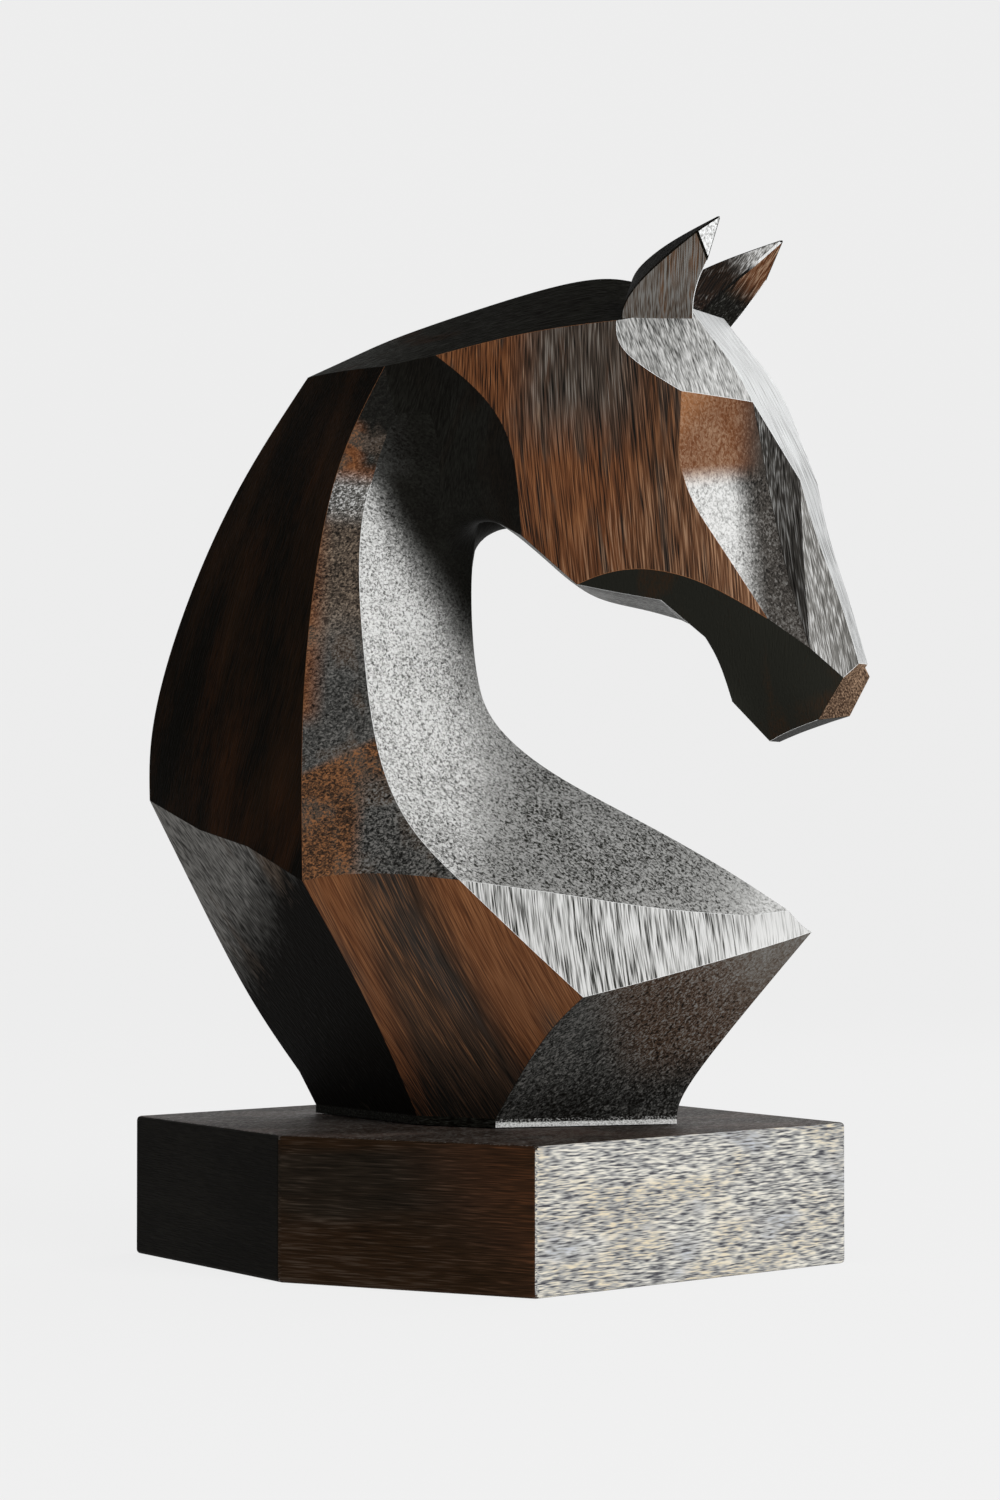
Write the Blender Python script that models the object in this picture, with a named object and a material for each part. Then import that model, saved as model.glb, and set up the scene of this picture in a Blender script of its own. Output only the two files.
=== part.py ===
"""Faceted wooden horse bust on a six-sided plinth.

Metres, +Z up. The horse looks along +X, its left side is +Y, and the plinth stands on Z = 0
with the middle of the whole outline over the origin.
"""
import math

import bmesh
import bpy
from mathutils import Matrix, Vector

# Driving dimensions
FIGURE_HEIGHT = 0.2587
FOOT_HEIGHT = 0.0025
JOINT_GAP = 0.0003
PLINTH_HEIGHT = 0.041
PLINTH_LONG_FACE = 0.131
PLINTH_TAIL_FACE = 0.0945
PLINTH_SIDE_FACE = 0.0825
PLINTH_EDGE_ROUNDING = 0.0012
PLINTH_EDGE_SEGMENTS = 2

# Directions of the plinth's faces, seen from above and turned from the horse's facing
LONG_FACE_TURN = math.radians(71)
TAIL_FACE_TURN = math.radians(-35)
SIDE_FACE_TURN = math.radians(-5)

# The figure's corners are shares of its height: one share is the height over SHARES
SHARES = 255
SURFACE_LEVELS = 2

# Corners of one half of the figure as (forward, out, up) from the middle of its foot.
# Each line follows one edge of the carving. Where out is 0 the corner lies on the mid-plane.
LINES = {
    # Nape ridge, from the start of the mane down to the widest bulge of the back
    "back": ((-59, 0, 219), (-81, 0, 190.5), (-97, 0, 161), (-108.5, 0, 132), (-113.5, 0, 110),
             (-113, 0, 93)),
    # Ridge below the bulge, running in to the foot
    "rump": ((-97, 0, 65), (-79, 0, 33.5), (-61.5, 0, 12)),
    # Rear edge of the narrow strip along the side of the neck
    "flank": ((-25.5, 15.5, 219), (-38, 20.5, 193.5), (-43.5, 23.5, 164), (-46, 26.5, 132),
              (-45, 30.5, 104), (-40.5, 38, 69)),
    # Edge between the back and the rump facet
    "flank_foot": ((-88.5, 13, 84), (-65.5, 25, 79)),
    # Front edge of the strip, sweeping out to the point of the shoulder
    "collar": ((-20.5, 17.5, 208.5), (-28.5, 22, 183), (-30, 24.5, 162), (-26.5, 27, 134), (-20, 32, 104),
               (-7.5, 36.5, 83.5), (11, 41, 69.5), (31.5, 45.5, 53.5), (52.5, 49, 37.5)),
    # Ridge down the front of the neck and out along the top of the chest
    "breast": ((-4, 0, 167), (-4, 0, 145), (-2.5, 0, 129), (1, 0, 116.5), (19, 0, 102), (46.5, 0, 88.5),
               (73.5, 0, 74.5), (94.5, 0, 61)),
    "chest_tip": ((101, 0, 55),),
    # Low end of the ridge down the front of the chest
    "keel": ((61, 0, 10),),
    # Upper and lower edge of the long facet along the chest
    "chest_top": ((41, 33.5, 65.5), (63, 18.5, 61), (85, 6, 59.5)),
    "chest_edge": ((72, 26, 44), (93.5, 5.5, 52)),
    # Rear and front edge of the big shoulder facet
    "shoulder": ((-28.5, 39.5, 51), (-15.5, 38, 27.5)),
    "front": ((38.5, 45, 27),),
    # Ridge of the mane and the edge below it
    "crest": ((-43.5, 0, 224.5), (-31.5, 0, 229), (-8, 0, 235), (15.5, 0, 240.5), (34, 0, 243.5),
              (48.5, 0, 242)),
    "mane": ((-44, 7.5, 219.5), (-8, 17.5, 221), (17, 18.5, 225.5), (36, 20, 227), (50.5, 21, 227.5)),
    # Hollow behind the cheek
    "throat": ((-9, 17.5, 205), (-7, 16, 188), (-11, 13.5, 171)),
    "throat_point": ((-2.5, 0, 175),),
    # Rear edge of the cheek, and its gently crowned middle
    "cheek": ((8, 22, 210), (18, 24, 198), (21.5, 25, 184.5)),
    "crown": ((34, 24, 205), (44, 25, 188), (52, 25, 172), (66, 24, 164)),
    # Lower edge of the jaw, chin and lips
    "jaw": ((8.5, 13, 173), (21.5, 22.5, 167.5), (39, 23, 153), (50.5, 22.5, 150.5), (64, 21, 148),
            (75.5, 16.5, 137.5), (79, 14.5, 131), (82, 12.5, 119.5), (89.9, 3.8, 108.5), (96, 5.6, 111.3),
            (105.4, 6.4, 114.3)),
    # Edge between the cheek and the lower jaw
    "jaw_top": ((47.5, 24, 156), (59, 24, 157.5), (73.5, 22.5, 154.5), (85.5, 18.5, 148)),
    "muzzle": ((98, 13, 125.5),),
    # Edge of the cheek round the eye hollow and on along the nose
    "socket": ((70.5, 21.5, 206.5), (70, 22.5, 187), (73, 21.5, 175.5), (79.5, 19.5, 165.5),
               (87, 17.5, 153.5), (93.5, 15, 142.5), (105, 11.5, 134), (112.5, 5.5, 126)),
    # Floor of the eye hollow
    "hollow": ((80.5, 16, 185.5), (91, 9.5, 186.5), (91.5, 5.5, 176), (97, 7, 153.5)),
    "nose_line": ((102.5, 10, 156),),
    # Lower edge of the forehead's side facet
    "brow": ((51, 23, 220), (61.5, 22.5, 212), (81, 17.5, 204.8)),
    # Edge of the flat strip down the forehead and the nose
    "plate": ((69.5, 13, 231), (76.8, 13.8, 221.6), (84, 14.4, 213.2), (89.2, 14.6, 203.2), (100.4, 7, 181.5),
              (104.5, 5, 165), (110.5, 4, 150), (116.5, 3.5, 130)),
    "nose": ((118.4, 0, 126.3), (112.4, 0, 115.4)),
}

# Ridge along the underside of the jaw, one (forward, up) for each corner of the jaw's edge
JAW_KEEL = ((8.5, 172.5), (28, 153.3), (38, 149), (50, 146.8), (61.5, 143.3), (71.5, 138.7), (79, 130),
            (82, 119.5), (89.9, 108.5), (96, 111.3), (105.4, 114.3))
# Corners of the jaw where a sharp edge crosses its underside
JAW_CROSS_EDGES = (4, 5, 7, 8)

# Corners of the foot as (forward, out), from the back round to the keel of the chest
FOOT = ((-56, 0), (-6, 33.5), (20, 36.5), (60, 0))

# One ear as rings of (outer, back, cup, front) corners from inside the head to near the tip
EAR_RINGS = (
    ((51, 12, 220), (50, 7, 224), (58, 5, 223), (69, 7, 222)),
    ((50, 22.5, 229.5), (50, 13.5, 239.5), (61, 16.5, 234), (72.1, 17.7, 231)),
    ((61.5, 26, 240), (57.5, 16.5, 245), (67, 21, 241), (76, 21.5, 238)),
    ((77, 26, 250.5), (67, 20, 249.5), (73.5, 22.5, 246), (79, 22.5, 242.5)),
)
EAR_TIP = (84, 24.5, 255)


def run(name, first, last):
    """Names of the corners first to last of a line."""
    return [f"{name}{i}" for i in range(first, last + 1)]


def strip(one, other):
    """Four-sided faces between two runs of corners of the same length."""
    return [[one[i], one[i + 1], other[i + 1], other[i]] for i in range(len(one) - 1)]


def figure_corners():
    """All corners of the half figure by name, in shares."""
    corners = {}
    for name, points in LINES.items():
        for i, point in enumerate(points):
            corners[f"{name}{i}"] = point
    foot_top = FOOT_HEIGHT * SHARES / FIGURE_HEIGHT
    for i, (forward, out) in enumerate(FOOT):
        corners[f"sole{i}"] = (forward, out, 0)
        corners[f"ankle{i}"] = (forward, out, foot_top)
    # The forehead strip runs flat across to the mid-plane, the jaw down to its keel
    for i, (forward, _, up) in enumerate(LINES["plate"]):
        corners[f"bridge{i}"] = (forward, 0, up)
    for i, (forward, up) in enumerate(JAW_KEEL):
        corners[f"under{i}"] = (forward, 0, up)
    return corners


def neck_faces():
    """Facets of the back, the side strip and the hollow front of the neck."""
    faces = [["back0", "mane0", "flank0", "flank1", "back1"]]
    faces += strip(run("back", 1, 4), run("flank", 1, 4))
    faces.append(["back4", "back5", "flank_foot0", "flank_foot1", "flank5", "flank4"])
    faces += strip(run("flank", 0, 4), run("collar", 0, 4))
    faces.append(["flank4", "flank5", "collar6", "collar5", "collar4"])
    faces.append(["collar2", "collar3", "breast1", "breast0", "throat2"])
    faces += strip(run("collar", 3, 6) + run("chest_top", 0, 2), run("breast", 1, 7))
    return faces


def chest_faces():
    """Facets of the rump, shoulder, chest and foot."""
    return [
        ["back5", "rump0", "shoulder0", "flank5", "flank_foot1", "flank_foot0"],
        ["rump0", "rump1", "shoulder1", "shoulder0"],
        ["rump1", "rump2", "ankle0", "ankle1", "shoulder1"],
        ["flank5", "shoulder0", "collar7", "collar6"],
        ["shoulder0", "shoulder1", "collar8", "collar7"],
        ["shoulder1", "ankle1", "ankle2", "front0", "collar8"],
        ["collar6", "collar7", "collar8", "chest_edge0", "chest_top1", "chest_top0"],
        ["chest_edge0", "chest_edge1", "chest_tip0", "breast7", "chest_top2", "chest_top1"],
        ["collar8", "front0", "keel0", "chest_tip0", "chest_edge1", "chest_edge0"],
        ["front0", "ankle2", "ankle3", "keel0"],
        *strip(run("ankle", 0, 3), run("sole", 0, 3)),
        run("sole", 0, 3),
    ]


def head_faces():
    """Facets of the mane, throat, cheek, jaw, eye hollow, forehead and nose."""
    faces = [
        ["back0", "mane0", "crest0"],
        ["crest0", "mane0", "flank0", "crest1"],
        ["crest1", "flank0", "mane1", "crest2"],
        *strip(run("crest", 2, 5), run("mane", 1, 4)),
        ["crest5", "mane4", "plate0", "bridge0"],
        ["mane4", "brow0", "brow1", "plate0"],
        ["brow1", "socket0", "plate1", "plate0"],
        ["socket0", "brow2", "plate2", "plate1"],
        ["brow2", "plate3", "plate2"],
        *strip(run("plate", 0, 7), run("bridge", 0, 7)),
        ["flank0", "collar0", "throat0", "mane1"],
        ["collar0", "collar1", "throat1", "throat0"],
        ["throat0", "throat1", "cheek2", "cheek1", "cheek0", "mane1"],
        ["collar1", "collar2", "throat2", "throat1"],
        ["throat1", "throat2", "jaw0", "jaw1", "cheek2"],
        ["throat2", "breast0", "throat_point0", "jaw0"],
    ]
    faces += [
        ["mane1", "cheek0", "crown0", "mane2"],
        ["mane2", "crown0", "brow0", "mane3"],
        ["mane3", "brow0", "mane4"],
        ["cheek0", "cheek1", "crown1", "crown0"],
        ["crown0", "crown1", "brow1", "brow0"],
        ["crown1", "socket1", "socket0", "brow1"],
        ["cheek1", "cheek2", "jaw1", "crown2", "crown1"],
        ["crown1", "crown2", "socket2", "socket1"],
        ["jaw1", "jaw2", "jaw_top0", "crown2"],
        ["crown2", "jaw_top0", "jaw_top1", "crown3"],
        ["crown2", "crown3", "socket3", "socket2"],
        ["crown3", "jaw_top1", "jaw_top2", "socket3"],
        ["jaw_top2", "jaw_top3", "socket4", "socket3"],
        ["jaw_top3", "socket5", "socket4"],
    ]
    faces += [
        ["jaw2", "jaw3", "jaw4", "jaw_top2", "jaw_top1", "jaw_top0"],
        ["jaw_top2", "jaw4", "jaw5", "jaw_top3"],
        ["jaw_top3", "jaw5", "jaw6", "muzzle0", "socket5"],
        ["jaw6", "jaw7", "jaw8", "muzzle0"],
        ["muzzle0", "jaw8", "jaw9", "jaw10"],
        ["muzzle0", "jaw10", "socket7", "socket6"],
        ["muzzle0", "socket6", "socket5"],
        ["socket0", "socket1", "hollow0", "brow2"],
        ["brow2", "hollow0", "hollow1", "plate3"],
        ["plate3", "hollow1", "hollow2", "plate4"],
        ["hollow2", "hollow3", "nose_line0", "plate4"],
        ["hollow3", "socket6", "nose_line0"],
        ["socket1", "socket2", "hollow2", "hollow1", "hollow0"],
        ["socket2", "socket3", "socket4", "hollow3", "hollow2"],
        ["socket4", "socket5", "socket6", "hollow3"],
        ["plate4", "nose_line0", "plate5"],
        ["plate5", "nose_line0", "socket6", "plate6"],
        ["plate6", "socket6", "socket7", "plate7"],
        ["socket7", "plate7", "bridge7", "nose0", "nose1", "jaw10"],
        ["throat_point0", "under0", "jaw0"],
        *strip(run("jaw", 0, 10), run("under", 0, 10)),
        ["jaw10", "under10", "nose1"],
    ]
    return faces


def figure_creases():
    """Runs of corners that stay sharp edges, each with its sharpness from 0 to 1."""
    sharp, firm, soft = 1.0, 0.75, 0.4
    return [
        (run("back", 0, 5) + run("rump", 0, 2) + ["ankle0", "sole0"], sharp),
        (["back0"] + run("crest", 0, 5) + ["bridge0"], sharp),
        (["back0", "mane0", "flank0"] + run("mane", 1, 4) + ["plate0"], sharp),
        (run("flank", 0, 5) + ["shoulder0", "shoulder1", "ankle1", "sole1"], sharp),
        (["back5", "flank_foot0", "flank_foot1", "flank5"], sharp),
        (run("collar", 1, 8) + ["front0", "ankle2", "sole2"], sharp),
        (["collar0", "collar1"], soft),
        (["throat_point0"] + run("breast", 0, 7) + ["chest_tip0"], firm),
        (["chest_tip0", "keel0", "ankle3", "sole3"], sharp),
        (["collar6"] + run("chest_top", 0, 2) + ["breast7"], sharp),
        (["collar8", "chest_edge0", "chest_edge1", "chest_tip0"], sharp),
        (["mane1"] + run("cheek", 0, 2) + ["jaw1"], sharp),
        (["throat_point0"] + run("jaw", 0, 10) + ["nose1"], sharp),
        (["throat_point0"] + run("under", 0, 5), firm),
        (["jaw2"] + run("jaw_top", 0, 3) + ["socket5"], sharp),
        *[([f"jaw{i}", f"under{i}"], sharp) for i in JAW_CROSS_EDGES],
        (run("socket", 0, 7) + ["jaw10"], sharp),
        (["mane4", "brow0", "brow1", "socket0", "brow2", "plate3"], sharp),
        (["bridge0"] + run("plate", 0, 7) + ["bridge7"], sharp),
        (["socket7", "plate7"], sharp),
        (["bridge7", "nose0", "nose1"], sharp),
        (["plate4", "nose_line0", "socket6"], sharp),
        (["plate3", "hollow1", "hollow2", "hollow3", "socket6"], firm),
        (["socket1", "hollow0", "hollow1"], soft),
        (run("ankle", 0, 3), sharp),
        (run("sole", 0, 3), sharp),
    ]


def ear_cage():
    """Corners, faces and creases of one ear."""
    corners = {"tip": EAR_TIP}
    count = len(EAR_RINGS)
    for i, ring in enumerate(EAR_RINGS):
        for side, point in zip("obcf", ring):
            corners[f"{side}{i}"] = point
    faces = []
    for one, other in ("ob", "bc", "cf", "fo"):
        faces += strip(run(one, 0, count - 1), run(other, 0, count - 1))
        faces.append([f"{one}{count - 1}", f"{other}{count - 1}", "tip"])
    faces.append(["o0", "b0", "c0", "f0"])
    creases = [(run(side, 0, count - 1) + ["tip"], 1.0) for side in "obcf"]
    creases.append((["o0", "b0", "c0", "f0", "o0"], 1.0))
    creases.append((["o3", "f3"], 1.0))
    return corners, faces, creases


def mirrored_mesh(name, corners, faces, creases):
    """Mesh of a half cage and its mirror image. Corners with out 0 are shared by both halves."""
    share = FIGURE_HEIGHT / SHARES
    bm = bmesh.new()
    crease = bm.edges.layers.float.new("crease_edge")
    halves = []
    for side in (-1, 1):
        verts = {}
        for key, (forward, out, up) in corners.items():
            if halves and out == 0:
                verts[key] = halves[0][key]
            else:
                verts[key] = bm.verts.new(Vector((forward, side * out, up)) * share)
        halves.append(verts)
    for verts in halves:
        for face in faces:
            bm.faces.new([verts[key] for key in face])
        for path, sharpness in creases:
            for one, other in zip(path, path[1:]):
                edge = bm.edges.get((verts[one], verts[other]))
                edge[crease] = max(edge[crease], sharpness)
    loose = [vert for vert in bm.verts if not vert.link_faces]
    bmesh.ops.delete(bm, geom=loose, context="VERTS")
    bmesh.ops.recalc_face_normals(bm, faces=bm.faces)
    mesh = bpy.data.meshes.new(name)
    bm.to_mesh(mesh)
    bm.free()
    return mesh


def add_object(name, mesh):
    """Object of a mesh, linked to the scene."""
    obj = bpy.data.objects.new(name, mesh)
    bpy.context.scene.collection.objects.link(obj)
    return obj


def add_surface(obj):
    """Subdivide a cage, keeping its creases sharp."""
    surface = obj.modifiers.new("surface", "SUBSURF")
    surface.levels = SURFACE_LEVELS
    surface.render_levels = SURFACE_LEVELS


def wood(name, colour, roughness):
    """Plain wood material."""
    material = bpy.data.materials.new(name)
    material.use_nodes = True
    shader = material.node_tree.nodes["Principled BSDF"]
    shader.inputs["Base Color"].default_value = (*colour, 1)
    shader.inputs["Roughness"].default_value = roughness
    shader.inputs["Metallic"].default_value = 0
    return material


def make_figure():
    """The horse's head and neck, carved as one, standing on the plinth."""
    faces = neck_faces() + chest_faces() + head_faces()
    figure = add_object("horse_bust", mirrored_mesh("horse_bust", figure_corners(), faces, figure_creases()))
    add_surface(figure)
    ears = add_object("ears_guide", mirrored_mesh("ears_guide", *ear_cage()))
    add_surface(ears)
    ears.hide_render = True
    ears.display_type = "WIRE"
    union = figure.modifiers.new("ears", "BOOLEAN")
    union.operation = "UNION"
    union.solver = "EXACT"
    union.object = ears
    figure.data.materials.append(wood("figure_wood", (0.09, 0.045, 0.025), 0.5))
    figure.location.z = PLINTH_HEIGHT + JOINT_GAP
    ears.location = figure.location
    return figure, ears


def plinth_outline():
    """Corners of the six-sided plinth seen from above, opposite faces parallel, about its centre."""
    steps = (
        (PLINTH_TAIL_FACE, TAIL_FACE_TURN),
        (PLINTH_SIDE_FACE, SIDE_FACE_TURN),
        (PLINTH_LONG_FACE, LONG_FACE_TURN),
    )
    half = [Vector((0, 0))]
    for length, turn in steps:
        half.append(half[-1] + length * Vector((math.cos(turn), math.sin(turn))))
    centre = half[-1] / 2
    near = [point - centre for point in half[:-1]]
    return near + [-point for point in near]


def make_plinth():
    """Solid block below the figure, with lightly rounded edges."""
    bm = bmesh.new()
    bottom = bm.faces.new([bm.verts.new((x, y, 0)) for x, y in plinth_outline()])
    block = bmesh.ops.extrude_face_region(bm, geom=[bottom])
    top = [item for item in block["geom"] if isinstance(item, bmesh.types.BMVert)]
    bmesh.ops.translate(bm, verts=top, vec=(0, 0, PLINTH_HEIGHT))
    bmesh.ops.recalc_face_normals(bm, faces=bm.faces)
    bmesh.ops.bevel(bm, geom=bm.edges[:], offset=PLINTH_EDGE_ROUNDING, segments=PLINTH_EDGE_SEGMENTS,
                    profile=0.5, affect="EDGES")
    mesh = bpy.data.meshes.new("plinth")
    bm.to_mesh(mesh)
    bm.free()
    plinth = add_object("plinth", mesh)
    plinth.data.materials.append(wood("plinth_wood", (0.07, 0.03, 0.018), 0.45))
    return plinth


def centre_on_origin(parts, helpers):
    """Move everything so that the middle of the whole outline is over the origin."""
    bpy.context.view_layer.update()
    graph = bpy.context.evaluated_depsgraph_get()
    reach = []
    for part in parts:
        shape = part.evaluated_get(graph)
        reach += [part.matrix_world @ Vector(corner) for corner in shape.bound_box]
    middle = [(min(p[axis] for p in reach) + max(p[axis] for p in reach)) / 2 for axis in (0, 1)]
    shift = Matrix.Translation((-middle[0], -middle[1], 0))
    for obj in parts + helpers:
        obj.location = shift @ obj.location


def main():
    for obj in list(bpy.data.objects):
        bpy.data.objects.remove(obj)
    figure, ears = make_figure()
    plinth = make_plinth()
    centre_on_origin([figure, plinth], [ears])


main()
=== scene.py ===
"""Looks of the faceted wooden horse bust and its six-sided plinth.

Metres, +Z up, the horse looks along +X. The bust is rebuilt as a smooth skin over the same
corners as the solid, cut into facets that each have their own wood finish. The pale grey and silver
of facets that face the key light is a painted highlight, and the near-black of facets that face away
is partly painted shade.
"""

import math

import bmesh
import bpy
from mathutils import Matrix, Vector


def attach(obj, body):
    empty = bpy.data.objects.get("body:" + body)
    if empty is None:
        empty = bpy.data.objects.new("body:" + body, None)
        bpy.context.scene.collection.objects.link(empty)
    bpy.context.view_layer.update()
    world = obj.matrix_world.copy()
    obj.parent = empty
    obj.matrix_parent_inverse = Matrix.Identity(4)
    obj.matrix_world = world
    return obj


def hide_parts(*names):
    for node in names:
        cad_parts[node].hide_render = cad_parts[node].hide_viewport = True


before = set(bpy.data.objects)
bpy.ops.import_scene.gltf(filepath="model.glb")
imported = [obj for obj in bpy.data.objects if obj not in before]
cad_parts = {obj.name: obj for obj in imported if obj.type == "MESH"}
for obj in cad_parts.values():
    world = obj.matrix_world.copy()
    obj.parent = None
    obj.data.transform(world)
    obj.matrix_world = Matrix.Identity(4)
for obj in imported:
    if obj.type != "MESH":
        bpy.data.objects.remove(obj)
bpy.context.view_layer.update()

# Sizes shared with the solid model
FIGURE_HEIGHT = 0.2587
FOOT_HEIGHT = 0.0025
SHARES = 255
SHARE = FIGURE_HEIGHT / SHARES
FIGURE_BASE = 0.0413
FIGURE_MIDDLE = -0.00267

PLINTH_HEIGHT = 0.041
# Length of each of the plinth's three kinds of face and its direction seen from above, in degrees
PLINTH_FACES = {"plinth_tail": (0.0945, -35), "plinth_side": (0.0825, -5), "plinth_long": (0.131, 71)}
PLINTH_EDGE = 0.00125
PLINTH_EDGE_SEGMENTS = 3

# Fineness of the skin
SKIN_LEVELS = 3
EDGE_WIDTH = 0.0005
EDGE_SEGMENTS = 2

# Camera: a long lens a little above the plinth, turned from the horse's side
CAMERA_PLACE = (0.50118, -1.07098, 0.12039)
CAMERA_TURN = 25
CAMERA_RISE = 1.432
CAMERA_LENS = 96

# Depth of the grain in metres, and roughness of the bare wood in the dark tone and of the lighter tone on
# the raised fibres, which on the pale facets is a painted highlight
GRAIN_DEPTH = 0.0004
ROUGHNESS = (0.62, 0.48)
# Share of the fine fibres, how many times wider the coarse ones are, and how far both swing the tone
FINE_SHARE = 0.82
COARSE_WIDTH = 2.4
FIBRE_SWING = 4.8
# Width of the broad patches in metres
PATCH_WIDTH = 0.016

# Soft lights: place, width and power in watts, all aimed at the middle of the bust
LIGHTS = {
    "key": ((1.24, -0.45, 0.75), 0.9, 17),
    "fill": ((0.1, -1.5, 0.5), 1.2, 5),
    "rim": ((0.3, 1.2, 0.9), 0.8, 5),
}
LIGHTS_TARGET = (0, 0, 0.15)
PAPER = (0.86, 0.86, 0.86, 1)

# Floor that curves up behind the bust: half its width, front and back ends, radius and top
FLOOR_HALF_WIDTH = 5.0
FLOOR_FRONT = -3.0
FLOOR_BACK = 3.0
FLOOR_CURVE = 0.8
FLOOR_CURVE_STEPS = 8
FLOOR_TOP = 4.0

# Corners of one half of the figure as (forward, out, up) shares from the middle of its foot
LINES = {
    "back": ((-59, 0, 219), (-81, 0, 190.5), (-97, 0, 161), (-108.5, 0, 132), (-113.5, 0, 110),
             (-113, 0, 93)),
    "rump": ((-97, 0, 65), (-79, 0, 33.5), (-61.5, 0, 12)),
    "flank": ((-25.5, 15.5, 219), (-38, 20.5, 193.5), (-43.5, 23.5, 164), (-46, 26.5, 132),
              (-45, 30.5, 104), (-40.5, 38, 69)),
    "flank_foot": ((-88.5, 13, 84), (-65.5, 25, 79)),
    "collar": ((-20.5, 17.5, 208.5), (-28.5, 22, 183), (-30, 24.5, 162), (-26.5, 27, 134), (-20, 32, 104),
               (-7.5, 36.5, 83.5), (11, 41, 69.5), (31.5, 45.5, 53.5), (52.5, 49, 37.5)),
    "breast": ((-4, 0, 167), (-4, 0, 145), (-2.5, 0, 129), (1, 0, 116.5), (19, 0, 102), (46.5, 0, 88.5),
               (73.5, 0, 74.5), (94.5, 0, 61)),
    "chest_tip": ((101, 0, 55),),
    "keel": ((61, 0, 10),),
    "chest_top": ((41, 33.5, 65.5), (63, 18.5, 61), (85, 6, 59.5)),
    "chest_edge": ((72, 26, 44), (93.5, 5.5, 52)),
    "shoulder": ((-28.5, 39.5, 51), (-15.5, 38, 27.5)),
    "front": ((38.5, 45, 27),),
    "crest": ((-43.5, 0, 224.5), (-31.5, 0, 229), (-8, 0, 235), (15.5, 0, 240.5), (34, 0, 243.5),
              (48.5, 0, 242)),
    "mane": ((-44, 7.5, 219.5), (-8, 17.5, 221), (17, 18.5, 225.5), (36, 20, 227), (50.5, 21, 227.5)),
    "throat": ((-9, 17.5, 205), (-7, 16, 188), (-11, 13.5, 171)),
    "throat_point": ((-2.5, 0, 175),),
    "cheek": ((8, 22, 210), (18, 24, 198), (21.5, 25, 184.5)),
    "crown": ((34, 24, 205), (44, 25, 188), (52, 25, 172), (66, 24, 164)),
    "jaw": ((8.5, 13, 173), (21.5, 22.5, 167.5), (39, 23, 153), (50.5, 22.5, 150.5), (64, 21, 148),
            (75.5, 16.5, 137.5), (79, 14.5, 131), (82, 12.5, 119.5), (89.9, 3.8, 108.5), (96, 5.6, 111.3),
            (105.4, 6.4, 114.3)),
    "jaw_top": ((47.5, 24, 156), (59, 24, 157.5), (73.5, 22.5, 154.5), (85.5, 18.5, 148)),
    "muzzle": ((98, 13, 125.5),),
    "socket": ((70.5, 21.5, 206.5), (70, 22.5, 187), (73, 21.5, 175.5), (79.5, 19.5, 165.5),
               (87, 17.5, 153.5), (93.5, 15, 142.5), (105, 11.5, 134), (112.5, 5.5, 126)),
    "hollow": ((80.5, 16, 185.5), (91, 9.5, 186.5), (91.5, 5.5, 176), (97, 7, 153.5)),
    "nose_line": ((102.5, 10, 156),),
    "brow": ((51, 23, 220), (61.5, 22.5, 212), (81, 17.5, 204.8)),
    "plate": ((69.5, 13, 231), (76.8, 13.8, 221.6), (84, 14.4, 213.2), (89.2, 14.6, 203.2), (100.4, 7, 181.5),
              (104.5, 5, 165), (110.5, 4, 150), (116.5, 3.5, 130)),
    "nose": ((118.4, 0, 126.3), (112.4, 0, 115.4)),
}
# Ridge along the underside of the jaw, one (forward, up) for each corner of the jaw's edge
JAW_KEEL = ((8.5, 172.5), (28, 153.3), (38, 149), (50, 146.8), (61.5, 143.3), (71.5, 138.7), (79, 130),
            (82, 119.5), (89.9, 108.5), (96, 111.3), (105.4, 114.3))
# Corners of the jaw where a sharp edge crosses its underside
JAW_CROSS_EDGES = (4, 5, 7, 8)
# Corners of half the foot, (forward, out)
FOOT = ((-56, 0), (-6, 33.5), (20, 36.5), (60, 0))
# Rings round the ear from its foot up, each with its outer, back, inner and front corner
EAR_RINGS = (
    ((51, 12, 220), (50, 7, 224), (58, 5, 223), (69, 7, 222)),
    ((50, 22.5, 229.5), (50, 13.5, 239.5), (61, 16.5, 234), (72.1, 17.7, 231)),
    ((61.5, 26, 240), (57.5, 16.5, 245), (67, 21, 241), (76, 21.5, 238)),
    ((77, 26, 250.5), (67, 20, 249.5), (73.5, 22.5, 246), (79, 22.5, 242.5)),
)
EAR_TIP = (84, 24.5, 255)


# The skin of the bust

def run(name, first, last):
    """Names of the corners first to last of a line."""
    return [f"{name}{i}" for i in range(first, last + 1)]


def strip(one, other):
    """Four-sided faces between two runs of corners of the same length."""
    return [[one[i], one[i + 1], other[i + 1], other[i]] for i in range(len(one) - 1)]


def figure_corners():
    """All corners of the half figure by name, in shares."""
    corners = {}
    for name, points in LINES.items():
        for i, point in enumerate(points):
            corners[f"{name}{i}"] = point
    for i, (forward, out) in enumerate(FOOT):
        corners[f"sole{i}"] = (forward, out, 0)
        corners[f"ankle{i}"] = (forward, out, FOOT_HEIGHT / SHARE)
    for i, (forward, _, up) in enumerate(LINES["plate"]):
        corners[f"bridge{i}"] = (forward, 0, up)
    for i, (forward, up) in enumerate(JAW_KEEL):
        corners[f"under{i}"] = (forward, 0, up)
    return corners


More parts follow.
